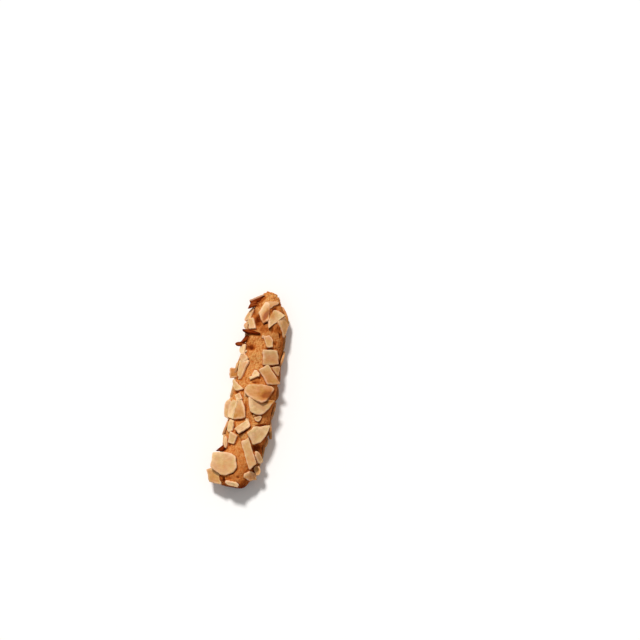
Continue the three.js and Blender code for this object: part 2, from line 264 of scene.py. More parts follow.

# Flakes on top, as outlines from above: an oval slice, turned from +X, less the straight edges where it
# broke (direction that the edge faces, distance from the middle). A flake follows the slope of the dough,
# tips from it and lifts. Toast runs from cream to scorched and grows towards the direction of fade; on some
# flakes toast and fade also paint the shade of a side turned from the light. A shaded dent is a dent darkened
# with painted shade: its middle, half sizes, turn, toast and depth.
topFlakes = [
    # Tip end
    dict(at=(-6, 44.9), size=(11, 5.4), turn=47, follow=0.8, lift=-0.8, skin=1, paleEdge=(124, 0.1),
         breaks=[(299, 1.9), (326, 2.3), (56, 3.7), (124, 1), (206, 4), (269, 3)]),
    dict(at=(-7.3, 41.2), size=(7.4, 5.6), turn=25, follow=0.6, lift=-0.2, deep=2.4, skin=1, toast=0.45,
         breaks=[(163, 1.8), (282, 1.3), (299, 0.7), (35, 2.5), (103, 2.3)]),
    dict(at=(2.1, 42.8), size=(9, 6), turn=10, toast=0.42,
         breaks=[(315, 1), (29, 3.6), (103, 1.7), (215, 2)]),
    dict(at=(-0.9, 38), size=(15, 9.5), turn=80, tip=(0.1, -0.1), lift=0.2, toast=0.16, fade=(290, 0.2),
         shadedDent=((1.7, -0.6), (5, 1.5), 72, 1.15, 0.4),
         breaks=[(212, 2.6), (309, 4.9), (8, 2.7), (78, 5.6), (157, 2.5)]),
    dict(at=(5.7, 35.6), size=(16, 11), turn=55, tip=(0, 0.05), toast=0.17, fade=(165, 0.35),
         shadedDent=((-2.7, 1.7), (2.6, 1.3), 60, 0.42, 0),
         breaks=[(198, 4.2), (323, 0.9), (65, 4.5), (98, 5), (165, 3.5)]),
    dict(at=(9.8, 33.9), size=(12, 6), turn=100, follow=0.7, lift=-0.4, toast=0.5,
         breaks=[(355, 2), (51, 3.6), (142, 3.2), (212, 2.1)]),
    dict(at=(-8.5, 36.9), size=(8.2, 2.2), turn=66, follow=0, tip=(0.8, 0), lift=-0.6, deep=4.5, toast=0.3),
    dict(at=(-5.8, 31.6), size=(9, 6), turn=100, follow=0.8, toast=0.25,
         breaks=[(280, 2.6), (23, 1.3), (106, 3.4), (193, 1.7)]),
    dict(at=(-5.2, 27.3), size=(10.4, 1.7), turn=357, follow=0.3, lift=0.5, deep=4, skin=1, toast=0.22,
         fade=(177, 0.1), breaks=[(185, 4.5), (357, 4.5)]),
    dict(at=(-7.9, 23.4), size=(5, 2.4), turn=58, follow=0.5, skin=1, toast=0.35,
         breaks=[(305, 0.9), (150, 0.8)]),
    dict(at=(-9.8, 21), size=(5.6, 2.2), turn=12, follow=0.4, lift=-1, skin=1, toast=0.4),
    dict(at=(3.7, 24), size=(9.4, 7.5), turn=110, tip=(0, -0.05), toast=0.43, fade=(110, 0.15),
         breaks=[(285, 3.1), (6, 2.5), (48, 2.4), (111, 2.9), (208, 1.5)]),
    dict(at=(-8.2, 18.6), size=(6.8, 4), turn=95, follow=0.8, toast=0.02,
         breaks=[(0, 1.3), (95, 2.3), (165, 1.3), (214, 1.5)]),
    dict(at=(6.3, 15.9), size=(13.6, 12), turn=10, toast=0.4, fade=(285, 0.32),
         breaks=[(101, 4.2), (191, 3.6), (277, 3.4), (292, 3.4), (16, 3.9)]),
    dict(at=(-6.5, 14.2), size=(7, 6), turn=10, tip=(0, 0.1), toast=0.22,
         breaks=[(44, 1.5), (146, 1.9), (201, 1.6), (295, 2.1), (335, 2.1)]),
    # Middle
    dict(at=(-6.7, 8.5), size=(12, 6), turn=262, tip=(0.1, 0), toast=0.28, fade=(270, 0.15),
         breaks=[(95, 4.3), (184, 1.5), (225, 3.5), (347, 1.9)]),
    dict(at=(-10.6, 5.7), size=(9, 8.4), turn=100, follow=0, tip=(0.5, 0), lift=-1.6, toast=0.67,
         breaks=[(102, 3), (191, 2.4), (282, 2.1)]),
    dict(at=(7.9, 6.9), size=(15, 9), turn=135, tip=(0.1, 0), toast=0.5, fade=(290, 0.25),
         breaks=[(284, 3.9), (43, 2.5), (132, 5.8), (220, 3.1)]),
    dict(at=(9.9, 10.9), size=(8, 6), turn=100, follow=0.8, toast=0.5,
         breaks=[(267, 2.4), (357, 1.8), (14, 1.9), (122, 1.6), (224, 1)]),
    dict(at=(0.3, 6.1), size=(6.5, 5), turn=60, tip=(0, -0.2), toast=0,
         breaks=[(168, 1.1), (302, 1.3), (44, 2.6), (116, 2.4)]),
    dict(at=(6, -8.6), size=(17, 15), turn=18, tip=(0, -0.05), toast=0.22, fade=(20, 0.2),
         shadedDent=((2.5, 2.9), (3.2, 1), 18, 0.75, 0.4),
         breaks=[(193, 5.4), (204, 5.2), (248, 4.6), (275, 4.2), (313, 3.9), (335, 4), (95, 3.8)]),
    dict(at=(3.9, -2.1), size=(18, 13), turn=5, tip=(0.02, -0.3), lift=-0.3, toast=0.52, fade=(330, 0.12),
         shadedDent=((5.7, -0.1), (4, 2.1), 22, 0.75, 0.6),
         breaks=[(241, 4.4), (256, 4.1), (305, 5.5), (340, 5.8), (55, 7.1), (89, 4.5), (103, 4.1),
                 (134, 5.8), (190, 6.7)]),
    dict(at=(-7.5, -0.2), size=(7.5, 6), turn=130, follow=0.8, toast=0.2,
         breaks=[(52, 1.2), (197, 1.6), (215, 1.5), (285, 2.6)]),
    dict(at=(-5.1, -5.8), size=(5, 4.2), turn=60, toast=0.15,
         breaks=[(34, 1.3), (127, 1.6), (208, 1.6), (286, 1.6)]),
    dict(at=(-3, -11.7), size=(13, 9.5), turn=106, toast=0.49, fade=(280, 0.4),
         breaks=[(178, 3.2), (281, 4.9), (298, 4.6), (13, 2.2), (31, 2.2), (92, 5.7)]),
    dict(at=(-7.3, -12.4), size=(12, 7), turn=272, follow=0.8, lift=0.3, toast=0.05, fade=(90, 0.4),
         breaks=[(166, 2.1), (185, 2), (205, 2.5), (255, 4.2), (358, 2.1), (89, 4.8), (136, 3.2)]),
    dict(at=(-9.7, -12.5), size=(10.5, 4.6), turn=95, lift=-0.7, toast=0.25,
         breaks=[(242, 3.9), (79, 4.4), (137, 3.7), (190, 1.7)]),
    dict(at=(6.2, -14.4), size=(3.8, 2.8), turn=30, breaks=[(120, 0.9), (350, 1.3)], toast=0.2),
    # Foot end
    dict(at=(-6.2, -20.4), size=(7.4, 3.2), turn=95, toast=0.08,
         breaks=[(3, 1.1), (81, 2.8), (302, 2.7)]),
    dict(at=(-0.4, -20.3), size=(10.5, 6), turn=45, tip=(0, -0.25), toast=0.2,
         breaks=[(312, 1.9), (330, 2.5), (26, 3.8), (80, 3.9), (137, 1.7), (233, 3.6)]),
    dict(at=(7.3, -22.1), size=(16, 12), turn=56, tip=(0, -0.2), lift=0.2, toast=0.18,
         breaks=[(299, 4.4), (331, 3.6), (350, 4), (110, 3.5), (143, 3.8), (216, 4.4)]),
    dict(at=(-4.1, -26.3), size=(8, 6), turn=92, toast=0.2,
         breaks=[(264, 2.7), (348, 1.7), (67, 2.2), (179, 2)]),
    dict(at=(-9.1, -32.4), size=(6.4, 3.4), turn=40, follow=0.4, lift=-0.4, skin=1,
         breaks=[(135, 1), (272, 1.3)]),
    dict(at=(-7.3, -28.8), size=(6, 1.7), turn=100, follow=0.3, lift=0.3, deep=4, toast=0.2),
    dict(at=(4.5, -31.5), size=(20, 6.4), turn=118, follow=0.9, toast=0.32, fade=(298, 0.15),
         breaks=[(28, 2.2), (129, 6), (207, 2.1), (322, 7.3)]),
    dict(at=(9.7, -33.3), size=(6.2, 3), turn=118, follow=0.7, lift=0.2, toast=0.35,
         breaks=[(33, 1.2), (215, 1.3)]),
    dict(at=(-9.9, -46.5), size=(12, 9), turn=150, follow=0, tip=(0.45, 0.2), lift=-0.9, toast=0.43,
         breaks=[(1, 3.8), (117, 4.6), (203, 3.4), (268, 3.3)]),
    dict(at=(-5.8, -39.6), size=(17, 15), turn=0, follow=0.45, lift=0.2, toast=0.25, fade=(295, 0.15),
         breaks=[(17, 6.1), (55, 6.3), (90, 5.8), (101, 5.9), (183, 6.6), (244, 5.3), (270, 5.5),
                 (306, 5.6), (332, 6.1)]),
    dict(at=(10.3, -39.6), size=(5.4, 3.6), turn=100, follow=0.6, lift=-0.5, toast=0.5,
         breaks=[(101, 2.1), (214, 1.3)]),
    dict(at=(7.5, -43.1), size=(8.4, 6.6), turn=12, follow=0.65, toast=0.5,
         breaks=[(246, 2.2), (294, 2.1), (25, 2.5), (85, 2.4), (137, 2.2), (215, 2.8)]),
    dict(at=(-0.4, -48.3), size=(7, 2.6), turn=172, follow=0.8, toast=0.05,
         breaks=[(90, 1), (268, 0.9)]),
]

# Flakes on the flanks, by seeded draws
flank = {
    "seed": 2826, "length": 84, "proud": 0.4,
    # Rows: degrees up from the widest line, left and right, then how many, how long and how wide
    "rows": [((-2, -14), 9, (9, 13), (6, 8)), ((-28, -28), 8, (6, 9), (4, 5))],
    "place": (0.25, 0.75), "scatter": 6, "turn": 35, "tip": 0.1, "break": (0.2, 0.42),
    "skinStep": 0.02, "topStep": 0.5,  # for slopes of the dough
    # the right ones are darker as painted shade of the flank turned from the light
    "toast": [(0.25, 0.65), (0.6, 0.92)],  # left and right
    "edge": 0.2,  # how pale their edges are
}
drawn = flank["seed"]


def draw(low, high):  # the same draws as those of the solid
    global drawn
    drawn = (drawn * 1664525 + 1013904223) % 2 ** 32
    return low + (high - low) * drawn / 2 ** 32


def facingWay(degrees):
    return np.array([math.cos(math.radians(degrees)), math.sin(math.radians(degrees))])


def topHeight(x, y):  # of the dough, which beyond its outline is that of the widest line
    along = np.clip(y, -almond["reach"] * halfLength, almond["reach"] * halfLength)
    across = np.clip((x - spine(along)) / (finger["width"] / 2 * endRounding(along)), -1, 1)
    return doughPoint(along, np.arccos(signedPower(across, 1 / finger["sectionPower"])))[..., 2]


def breakOff(outline, facing, distance):  # keeps what lies within a straight edge
    beyond = outline @ facingWay(facing) - distance
    kept = []
    for i, point in enumerate(outline):
        j = (i + 1) % len(outline)
        if beyond[i] <= 0:
            kept.append(point)
        if (beyond[i] < 0) != (beyond[j] < 0):
            kept.append(point + (outline[j] - point) * beyond[i] / (beyond[i] - beyond[j]))
    return np.array(kept)


def sliceOutline(size, turn, breaks):  # an oval, narrower at its far end, less what broke off
    angles = np.arange(almond["ovalPoints"]) / almond["ovalPoints"] * 2 * math.pi
    taper = 1 - almond["taper"] * np.cos(angles)
    long, wide = size[0] / 2 * np.cos(angles), size[1] / 2 * np.sin(angles) * taper
    outline = long[:, None] * facingWay(turn) + wide[:, None] * facingWay(turn + 90)
    for facing, distance in breaks:
        outline = breakOff(outline, facing, distance)
    return outline


def topSlopes(x, y):
    step = flank["topStep"]
    slopes = [topHeight(x + step, y) - topHeight(x - step, y),
              topHeight(x, y + step) - topHeight(x, y - step)]
    return np.clip(np.array(slopes) / (2 * step), -almond["steepest"], almond["steepest"])


def slopeAxes(slopes):  # of a flake, whose outline from above stays as it is
    xAxis, yAxis = np.array([1, 0, slopes[0]]), np.array([0, 1, slopes[1]])
    normal = np.cross(xAxis, yAxis)
    return xAxis, yAxis, normal / np.linalg.norm(normal)


def topFlake(flake):  # laid on the highest dough below it
    x, y = flake["at"]
    slopes = topSlopes(x, y) * flake.get("follow", 1) + flake.get("tip", (0, 0))
    outline = sliceOutline(flake["size"], flake["turn"], flake.get("breaks", []))
    resting = outline * almond["restShare"]
    heights = topHeight(x + resting[:, 0], y + resting[:, 1]) - resting @ slopes
    axes = slopeAxes(slopes)
    face = np.array([x, y, max(topHeight(x, y), heights.max())])
    face = face + axes[2] * (almond["proud"] + flake.get("lift", 0))
    return dict(flake, outline=outline, axes=axes, face=face)


def unit(way):
    return way / np.linalg.norm(way)


def skinFlake(along, around, longRange, wideRange, toast):  # laid flat on the flank
    step = flank["skinStep"]
    alongWay = unit(doughPoint(along + step, around) - doughPoint(along - step, around))
    aroundWay = unit(doughPoint(along, around + step) - doughPoint(along, around - step))
    outward = unit(np.cross(aroundWay, alongWay))
    sideWay = np.cross(outward, alongWay)
    long = draw(*longRange)
    breaks = [(draw(0, 360), draw(*flank["break"]) * long)]
    size = (long, draw(*wideRange))
    turn = draw(-flank["turn"], flank["turn"])
    xAxis = unit(alongWay + outward * draw(-flank["tip"], flank["tip"]))
    yAxis = unit(sideWay + outward * draw(-flank["tip"], flank["tip"]))
    normal = unit(np.cross(xAxis, yAxis))
    return dict(size=size, turn=turn, breaks=breaks, outline=sliceOutline(size, turn, breaks),
                axes=(xAxis, yAxis, normal), face=doughPoint(along, around) + normal * flank["proud"],
                toast=rng.uniform(*toast), edge=flank["edge"])


def flankFlakes():
    flakes = []
    for side in (0, 1):
        for angles, count, longRange, wideRange in flank["rows"]:
            for i in range(count):
                along = -flank["length"] / 2 + (i + draw(*flank["place"])) * flank["length"] / count
                up = math.radians(angles[side] + draw(-flank["scatter"], flank["scatter"]))
                around = up if side == 1 else math.pi - up
                flakes.append(skinFlake(along, around, longRange, wideRange, flank["toast"][side]))
    return flakes


# Dough
dough = {
    "segments": 128, "rings": 160, "voxel": 0.32, "stations": 2001,
    # Relief: texture, size of its marks, height, contrast
    "relief": [("CLOUDS", 4, 0.45, 1), ("VORONOI", 1, -0.3, 1), ("CLOUDS", 0.7, 0.25, 1.3)],
    # low relief takes the pitShade colour, painted shade, and raised relief the grain colour, painted
    # highlight
    "reliefReach": 0.4,  # the relief's height that spans the colours from pit to grain
    "undersideTop": 0.02,
    "hollowEdge": 1.5, "ragged": 1.1,  # sharpness of a hollow's edge, and how far the crumb breaks it up
    "hollowFacing": (-0.1, 0.25),  # hollows fade out where the dough no longer faces up
    # amberAndShade and browned paint the shade of the right flank, the hollows and the gaps by the flakes,
    # with some browning
    "gold": "#d19352", "orange": "#c16f33", "pitShade": "#a04e16", "grain": "#e2ad6c",
    "amberAndShade": "#b35c20", "browned": "#5e1a02",
    # Along the finger: painted shade over the tip half, as a share of full light, and how much amber is mixed
    # in
    "tone": [(-50, 1), (18, 1), (27, 0.89), (36, 0.91), (50, 0.96)],
    "amberAlong": [(-50, 0.7), (-49, 0.5), (-47.5, 0.24), (-42, 0.24), (-34, 0.2), (-25, 0), (18, 0),
                   (28, 0.12), (38, 0.1), (46, 0)],
    # Painted shade on the right flank, which faces away from the light, and close to a flake on its shaded
    # lower right side; browner close to the tray
    "flankWay": (0.95, -0.3, -0.1), "flankFacing": (0.1, 0.9), "flankShade": 0.4,
    "trayHeight": (0.5, 4), "trayBrown": 0.25,
    "contact": 0.75, "contactShade": 0.58, "contactShift": (0.35, -0.45),
    "underside": "#b07a4e",
}

# Hollows in the top, pressed in and darkened with painted shade and some browning: middle, half length and
# half width, turn, depth, how dark
hollows = [
    # Tip end
    ((-4.2, 45.2), (1.5, 0.9), 80, 0.3, 0.5), ((5.6, 44.2), (0.8, 0.8), 0, 0.4, 0.75),
    ((3.5, 40.6), (2.6, 1.1), 59, 0.7, 0.9), ((-6.1, 37.1), (2.2, 1.6), 110, 0.4, 0.5),
    ((-8.2, 36.8), (1.3, 0.6), 76, 0.4, 0.6), ((-3.9, 34.3), (3, 1.8), 112, 1, 0.95),
    ((0.8, 32.9), (1.2, 0.5), 27, 0.5, 0.9), ((-3.6, 33.2), (3.8, 2.4), 108, 0.4, 0.82),
    ((-8.7, 31.4), (1.7, 0.5), 107, 0.4, 0.8), ((0.5, 29.6), (2.8, 2), 0, 0.3, 0.5),
    ((4.8, 29.9), (1.8, 0.7), 80, 0.5, 0.75), ((7.5, 30.9), (2.8, 2.1), 60, 0.3, 0.6),
    ((9, 28.3), (1.7, 0.6), 109, 0.5, 0.85), ((7.4, 23.9), (1.4, 0.9), 95, 0.5, 0.8),
    ((-4.3, 19.6), (2.5, 1.6), 8, 0.6, 0.9), ((-5.6, 19.9), (0.8, 0.6), 169, 0.4, 1),
    ((5.4, 20.6), (2.9, 0.6), 16, 0.9, 0.9), ((-9.6, 14.8), (1.1, 0.7), 80, 0.4, 0.7),
    ((10.2, 13.7), (1.6, 0.5), 38, 0.6, 0.9), ((8.5, 11.9), (1.4, 0.5), 145, 0.6, 0.85),
    # Middle
    ((-5, 5), (1.3, 0.8), 80, 0.3, 0.5), ((-7.5, 3), (0.9, 0.7), 0, 0.4, 0.7),
    ((3.1, 5.6), (2, 0.9), 50, 0.5, 0.7), ((2.7, 3.1), (3, 1.4), 0, 0.3, 0.4),
    ((1, 2.6), (1.3, 0.7), 0, 0.4, 0.8), ((-4.1, -2), (1.3, 1.2), 0, 0.3, 0.45),
    ((-6.8, -3.5), (1.5, 0.8), 0, 0.5, 0.7), ((-0.7, -4.1), (1.1, 0.8), 80, 0.3, 0.5),
    ((-3.5, -5.8), (1.7, 0.7), 90, 0.3, 0.45), ((8.9, -5.1), (3.4, 1.2), 18, 0.9, 0.9),
    ((-0.8, -11.8), (4.2, 1.1), 95, 0.5, 0.72), ((3.2, -13), (0.9, 0.7), 0, 0.4, 0.75),
    ((10.2, -12.5), (5, 3), 60, 0, 0.32), ((7.3, -16.4), (0.9, 0.8), 0, 0.4, 0.6),
    ((-2.9, -17.1), (3.6, 0.9), 12, 0.9, 0.65), ((9.3, -17.4), (4, 0.8), 17, 0.9, 0.85),
    # Foot end
    ((-4.8, -20.5), (1.5, 0.9), 90, 0.5, 0.7), ((-2.7, -23.7), (1.2, 0.5), 165, 0.7, 1),
    ((0.9, -22.1), (2.7, 0.7), 40, 0.8, 1), ((11.6, -22.5), (5, 2), 80, 0, 0.75),
    ((-1.9, -27.4), (2, 0.7), 77, 0.3, 0.5), ((-5.2, -30), (0.9, 0.8), 24, 0.4, 0.75),
    ((8.7, -29), (3.8, 2.3), 12, 1.6, 0.95), ((8.6, -34.2), (2.4, 0.6), 115, 0.4, 0.5),
    ((10.4, -34.7), (1.3, 0.4), 157, 0.4, 0.8), ((5.7, -39.3), (1.9, 1.6), 60, 0.2, 0.4),
    ((9.4, -37.8), (1.1, 0.5), 52, 0.8, 1), ((8.8, -39.5), (1, 0.5), 104, 0.8, 1),
    ((9.8, -40.9), (1.1, 0.5), 140, 0.8, 1), ((9.6, -39.4), (2.2, 1.7), 90, 0.5, 0.7),
    ((-1.3, -43.4), (1.8, 0.5), 41, 0.4, 0.8), ((-3, -46.2), (2.4, 1.2), 10, 0.4, 0.5),
    ((2, -44.8), (0.9, 0.8), 0, 0.4, 0.7), ((-5, -47.4), (1.9, 0.8), 102, 1.2, 1),
    ((2.8, -48.7), (1.3, 1.1), 0, 0.3, 0.9), ((5.8, -46.5), (4, 2.4), 25, 0.2, 0.2),
]


def nearHollow(plan, middle, reach, way, raised=0):  # 1 in a hollow's middle, 0 well away from it
    across = (plan - np.array(middle)) @ np.stack([facingWay(way), facingWay(way + 90)], 1) / reach
    distance = np.sum(across ** 2, -1) + dough["ragged"] * raised
    return np.exp(-np.maximum(0, distance) ** dough["hollowEdge"])


def shortcrust():
    # Shortcrust baked golden: dull and finely grained, mottled gold and orange, with painted shade in its low
    # crumb and painted highlight on its raised crumb, and painted shade with some browning in the hollows, on
    # the right flank, beside the flakes and towards the tip. The underside is an even, pinker brown.
    material, tree, shader = newMaterial("shortcrust_baked_golden", {
        "Roughness": 0.9, "Specular IOR Level": 0.02, "Subsurface Weight": 0.12,
        "Subsurface Radius": (1, 0.4, 0.15), "Subsurface Scale": 1 * mm})
    place = addNode(tree, "TexCoord").outputs["Object"]
    crumb = addNode(tree, "Attribute", {"attribute_name": "crumb"}).outputs["Fac"]
    browned = addNode(tree, "Attribute", {"attribute_name": "browned"}).outputs["Fac"]
    under = addNode(tree, "Attribute", {"attribute_name": "underside"}).outputs["Fac"]
    mottle = addNode(tree, "TexNoise", {"Scale": pitch(2), "Detail": 5}, {"Vector": place})
    mottled = addNode(tree, "ValToRGB", {"stops": [(0.36, dough["orange"]), (0.62, dough["gold"])]},
                      {"Fac": mottle.outputs["Fac"]})
    specks = addNode(tree, "TexNoise", {"Scale": pitch(0.6), "Detail": 4}, {"Vector": place})
    drawnOut = addNode(tree, "Mapping", {"Scale": (1, 0.3, 1)}, {"Vector": place})
    streaks = addNode(tree, "TexNoise", {"Scale": pitch(0.7), "Detail": 3}, {"Vector": drawnOut.outputs[0]})
    both = addNode(tree, "Math", {"operation": "ADD"}, {0: specks.outputs["Fac"], 1: streaks.outputs["Fac"]})
    mixed = addNode(tree, "Math", {"operation": "MULTIPLY_ADD", 1: 1.9, 2: -1.9}, {0: both.outputs[0]})
    level = addNode(tree, "Math", {"operation": "ADD"}, {0: crumb, 1: mixed.outputs[0]})
    # painted shade in the low crumb and painted highlight on the raised crumb, among real specks and streaks
    dark = addNode(tree, "MapRange", {"From Min": 0.42, "From Max": 0.05, "To Max": 0.75},
                   {"Value": level.outputs[0]})
    pale = addNode(tree, "MapRange", {"From Min": 0.55, "From Max": 0.95, "To Max": 0.7},
                   {"Value": level.outputs[0]})
    pitted = addNode(tree, "Mix", {"data_type": "RGBA", 7: linearColour(dough["pitShade"])},
                     {0: dark.outputs[0], 6: mottled.outputs["Color"]})
    grained = addNode(tree, "Mix", {"data_type": "RGBA", 7: linearColour(dough["grain"])},
                      {0: pale.outputs[0], 6: pitted.outputs[2]})
    # painted shade and some browning: amber for the flank and the ends, the darkest for the hollows and gaps
    edge = addNode(tree, "Math", {"operation": "MULTIPLY_ADD", 1: 0.8, 2: -0.4}, {0: mottle.outputs["Fac"]})
    ragged = addNode(tree, "Math", {"operation": "ADD"}, {0: browned, 1: edge.outputs[0]})
    amberAndShade = addNode(tree, "MapRange", {"From Min": 0.02, "From Max": 0.5, "To Max": 0.95},
                    {"Value": ragged.outputs[0]})
    golden = addNode(tree, "Mix", {"data_type": "RGBA", 7: linearColour(dough["amberAndShade"])},
                     {0: amberAndShade.outputs[0], 6: grained.outputs[2]})
    much = addNode(tree, "MapRange", {"From Min": 0.4, "From Max": 0.85, "To Max": 0.95},
                   {"Value": ragged.outputs[0]})
    brown = addNode(tree, "Mix", {"data_type": "RGBA", 7: linearColour(dough["browned"])},
                    {0: much.outputs[0], 6: golden.outputs[2]})
    # painted shade towards the tip
    tone = addNode(tree, "Attribute", {"attribute_name": "tone"}).outputs["Fac"]
    shadedAlong = addNode(tree, "VectorMath", {"operation": "SCALE"}, {0: brown.outputs[2], "Scale": tone})
    colour = addNode(tree, "Mix", {"data_type": "RGBA", 7: linearColour(dough["underside"])},
                     {0: under, 6: shadedAlong.outputs[0]})
    tree.links.new(colour.outputs[2], shader.inputs["Base Color"])
    fine = addNode(tree, "TexNoise", {"Scale": pitch(0.32), "Detail": 3}, {"Vector": place})
    bump = addNode(tree, "Bump", {"Strength": 0.4, "Distance": 0.15 * mm}, {"Height": fine.outputs["Fac"]})
    tree.links.new(bump.outputs["Normal"], shader.inputs["Normal"])
    return material


def reliefTexture(kind, size, contrast):
    texture = bpy.data.textures.new("dough_" + kind.lower(), kind)
    texture.noise_scale = size * mm
    texture.contrast = contrast
    return texture


def wrapAround(piece):  # lays the texture around and along the finger, with its seam on the underside
    mesh = piece.data
    x, y, z = readPoints(piece).T / mm
    around = np.arctan2(x - spine(y), z - finger["middle"]) / (2 * math.pi) + 0.5
    stations = np.linspace(-halfLength, halfLength, dough["stations"])
    radii = finger["width"] / 2 * endRounding(stations)
    run = np.concatenate([[0], np.cumsum(np.hypot(np.diff(stations), np.diff(radii)))])
    along = np.interp(y, stations, run / run[-1])
    corners = np.empty(len(mesh.loops), int)
    mesh.loops.foreach_get("vertex_index", corners)
    starts = np.empty(len(mesh.polygons), int)
    mesh.polygons.foreach_get("loop_start", starts)
    u = around[corners]
    counts = np.diff(np.append(starts, len(corners)))
    wide = np.maximum.reduceat(u, starts) - np.minimum.reduceat(u, starts) > 0.5
    u[np.repeat(wide, counts) & (u < 0.5)] = 1
    layer = mesh.uv_layers.new(name="OFBake")
    layer.data.foreach_set("uv", np.stack([u, along[corners]], 1).ravel().astype(np.float32))


deselectAll()
bpy.ops.mesh.primitive_uv_sphere_add(segments=dough["segments"], ring_count=dough["rings"], radius=1,
                                     rotation=(-math.pi / 2, 0, 0))
doughFinger = bpy.context.object
doughFinger.name = "dough_finger"
bpy.ops.object.transform_apply(location=True, rotation=True, scale=True)
ball = readPoints(doughFinger)
skin = doughPoint(ball[:, 1] * halfLength, np.arctan2(ball[:, 2], ball[:, 0]))
writePoints(doughFinger, skin * mm)
applyModifier(doughFinger, "REMESH", {"mode": "VOXEL", "voxel_size": dough["voxel"] * mm})
smooth = readPoints(doughFinger)
normals = np.array([v.normal for v in doughFinger.data.vertices])
for kind, size, height, contrast in dough["relief"]:
    applyModifier(doughFinger, "DISPLACE", {
        "texture": reliefTexture(kind, size, contrast), "strength": height * mm, "texture_coords": "LOCAL"})
rough = readPoints(doughFinger)
raised = np.sum((rough - smooth) * normals, 1) / mm
print("dough relief, mm:", np.round(np.percentile(raised, [0, 5, 50, 95, 100]), 2))
rough -= normals * (np.median(raised) * mm)
raised -= np.median(raised)
# Browning and painted shade, and the hollows pressed in
plan = smooth[:, :2] / mm
up = smoothStep(normals[:, 2], *dough["hollowFacing"])
# painted shade on the right flank, which is turned from the light
browned = dough["flankShade"] * smoothStep(normals @ dough["flankWay"], *dough["flankFacing"])
browned += dough["trayBrown"] * (1 - smoothStep(smooth[:, 2] / mm, *dough["trayHeight"]))
browned += np.interp(plan[:, 1], *np.transpose(dough["amberAlong"]))
deep = np.zeros(len(plan))
# hollows pressed in and given painted shade with some browning
for middle, reach, way, depth, share in hollows:
    near = nearHollow(plan, middle, reach, way, raised) * up
    deep = np.maximum(deep, depth * near)
    browned = np.maximum(browned, share * near)
# painted shade on the dough beside each flake, shifted towards its shaded lower right side
for flake in topFlakes:
    outline = sliceOutline(flake["size"], flake["turn"], flake.get("breaks", []))
    outline = outline + flake["at"] + dough["contactShift"]
    ways = np.roll(outline, -1, 0) - outline
    outward = np.stack([ways[:, 1], -ways[:, 0]], 1) / np.linalg.norm(ways, axis=1)[:, None]
    near = np.flatnonzero(np.linalg.norm(plan - flake["at"], axis=1) < max(flake["size"]))
    beyond = np.max(plan[near] @ outward.T - np.sum(outline * outward, 1), axis=1)
    close = up[near] * smoothStep(-beyond, -dough["contact"], 0)
    browned[near] = np.maximum(browned[near], dough["contactShade"] * close)
rough -= normals * (deep * mm)[:, None]
writePoints(doughFinger, rough)
# The tray's flat face
pick(doughFinger)
bpy.ops.object.mode_set(mode="EDIT")
bpy.ops.mesh.select_all(action="DESELECT")
bpy.ops.object.mode_set(mode="OBJECT")
below = rough[:, 2] < dough["undersideTop"] * mm
doughFinger.data.vertices.foreach_set("select", below)
bpy.ops.object.mode_set(mode="EDIT")
bpy.ops.transform.resize(value=(1, 1, 0), center_override=(0, 0, 0))
bpy.ops.object.mode_set(mode="OBJECT")
# relief height: the material paints shade in low crumb and highlight on raised crumb
paintPoints(doughFinger, "crumb", np.clip(0.5 + raised / (2 * dough["reliefReach"]), 0, 1))
paintPoints(doughFinger, "browned", browned)
paintPoints(doughFinger, "underside", below.astype(float))
# painted shade towards the tip, as a share of full light
paintPoints(doughFinger, "tone", np.interp(plan[:, 1], *np.transpose(dough["tone"])))
wrapAround(doughFinger)
crust = shortcrust()
cookiePiece(doughFinger, crust)


# Almond flakes
def spreadRound(outline):  # the same number of points on every outline, with its corners kept
    count = almond["rimPoints"]
    ways = np.roll(outline, -1, 0) - outline
    angles = np.degrees(np.arctan2(ways[:, 1], ways[:, 0]))
    turns = np.abs((angles - np.roll(angles, 1) + 180) % 360 - 180)
    starts = np.flatnonzero(turns > almond["cornerTurn"])
    outline = np.roll(outline, -starts[0], 0) if len(starts) else outline
    starts = starts - starts[0] if len(starts) else np.array([0])
    closed = np.vstack([outline, outline[:1]])
    run = np.concatenate([[0], np.cumsum(np.linalg.norm(np.diff(closed, axis=0), axis=1))])
    marks = np.append(run[starts], run[-1])
    shares = np.maximum(1, np.round(np.diff(marks) / run[-1] * count)).astype(int)
    shares[np.argmax(shares)] += count - shares.sum()
    sides = zip(marks, marks[1:], shares)
    spots = np.concatenate([np.linspace(a, b, n, endpoint=False) for a, b, n in sides])
    even = np.stack([np.interp(spots, run, closed[:, i]) for i in (0, 1)], 1)
    soften = almond["soften"]
    return (1 - 2 * soften) * even + soften * (np.roll(even, 1, 0) + np.roll(even, -1, 0))


def unevenOutline(outline, breaks):  # chipped where it broke, slightly wavy elsewhere
    even = spreadRound(outline)
    broken = np.zeros(len(even))
    for facing, distance in breaks:
        away = (even @ facingWay(facing) - distance) / almond["breakReach"]
        broken = np.maximum(broken, np.exp(-away ** 2))
    around = np.arange(len(even)) / len(even) * 2 * math.pi
    wave = sum(rng.normal() / math.sqrt(k) * np.sin(k * around + rng.uniform(*anyPhase))
               for k in range(*almond["waves"]))
    outward = even - even.mean(0)
    reach = np.linalg.norm(outward, axis=1)[:, None]
    uneven = wave * (almond["wobble"] + (almond["chips"] - almond["wobble"]) * broken)
    return even + outward / reach * np.minimum(1, reach / almond["fullWave"]) * uneven[:, None]


